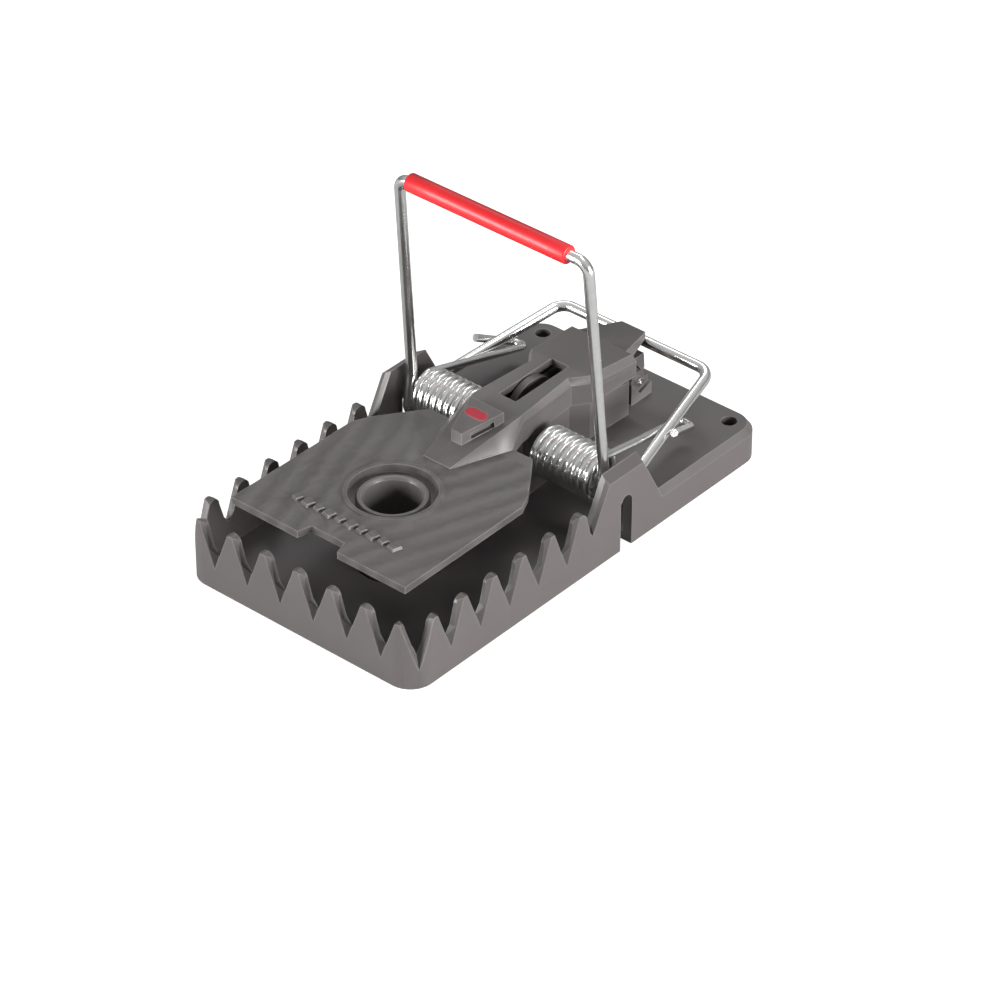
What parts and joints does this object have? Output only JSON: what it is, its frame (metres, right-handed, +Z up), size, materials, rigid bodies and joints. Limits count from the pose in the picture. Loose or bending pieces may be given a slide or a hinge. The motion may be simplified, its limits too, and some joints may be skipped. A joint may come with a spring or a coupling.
{
  "type": "snap mouse trap",
  "caption": "Low rectangular trap: toothed tray base, upright sprung wire bail with a sleeved bar, and a pedal lever that latches the bail's rear bow.",
  "frame": {"origin": "middle of the underside, on the surface that the trap stands on", "axes": "+X is the width, +Y runs from the toothed front to the rear screw holes, +Z is up"},
  "size_m": [0.057, 0.102, 0.0656],
  "materials": {
    "base_plastic": "satin",
    "lever_plastic": "satin",
    "plated_steel": "bright plated wire",
    "spring_steel": "bright plated wire",
    "red_sleeve": "soft sheen",
    "red_mark": "satin"
  },
  "bodies": {
    "base": {"base_tray": "base_plastic", "axle_rod": "plated_steel", "hinge_pin": "plated_steel", "left_spring": "spring_steel", "right_spring": "spring_steel"},
    "bail": {"bail_wire": "plated_steel", "bar_sleeve": "red_sleeve"},
    "pedal": {"pedal_lever": "lever_plastic", "badge_inlay": "red_mark"},
    "cup": {"bait_cup": "base_plastic"}
  },
  "joints": [
    {"name": "bail_swing", "type": "hinge", "parent": "base", "child": "bail", "pos_m": [0, 0.0094, 0.01065], "axis": [1, 0, 0], "range_deg": [0, 74], "deforming": ["left_spring", "right_spring"]},
    {"name": "pedal_trip", "type": "hinge", "parent": "base", "child": "pedal", "pos_m": [0, 0.041, 0.0115], "axis": [1, 0, 0], "range_deg": [0, 6]},
    {"name": "bait_cup_pull", "type": "slide", "parent": "base", "child": "cup", "axis": [0, 0, -1], "range_m": [0, 0.018]}
  ]
}
